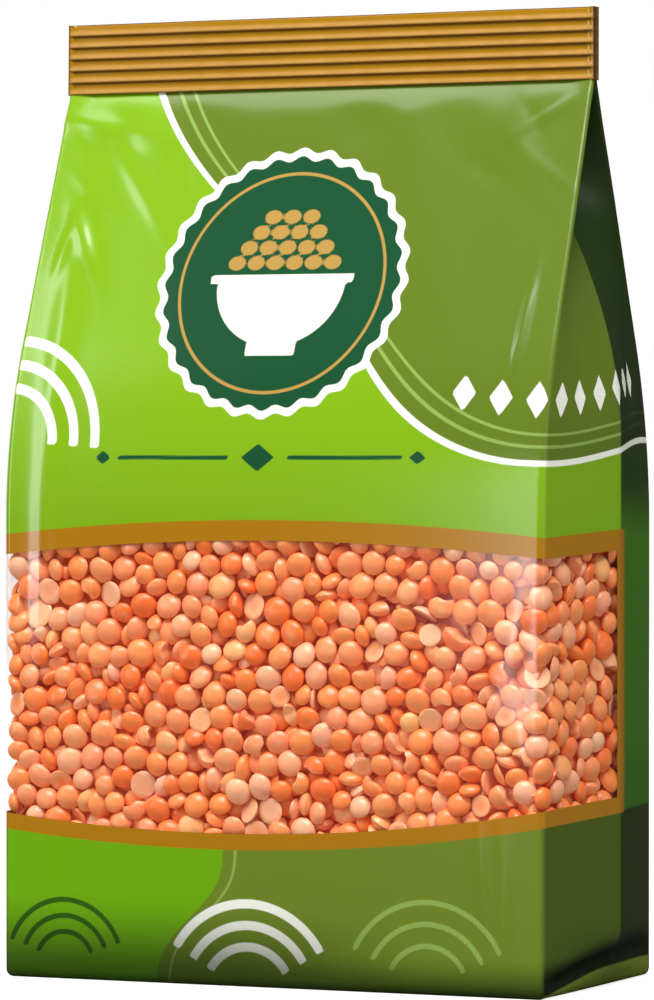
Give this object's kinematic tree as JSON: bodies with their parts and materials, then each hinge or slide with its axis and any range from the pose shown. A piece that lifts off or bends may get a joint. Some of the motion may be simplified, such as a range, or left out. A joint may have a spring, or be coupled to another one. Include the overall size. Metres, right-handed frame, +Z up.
{
  "type": "bag of red lentils",
  "caption": "Upright side-gusset film pack of red lentils with a clear band round its lower half and a crimped gold seal across its top; stands on its flat base.",
  "frame": {"origin": "middle of the flat base, on the surface the bag stands on", "axes": "+Z up to the top seal, -Y towards the front with the full window, +X towards the right gusset as seen from the front"},
  "size_m": [0.1186, 0.0558, 0.1811],
  "materials": {
    "printed_film": "glossy printed film, lime green with darker green fields",
    "red_lentil": "satin skinless lentils, salmon to orange",
    "gold_film": "glossy film with a flat gold-brown print, on the seal and round the window",
    "clear_film": "clear glossy film over the window"
  },
  "bodies": {
    "root": {"bag": "printed_film", "lentils": "red_lentil"}
  },
  "joints": []
}
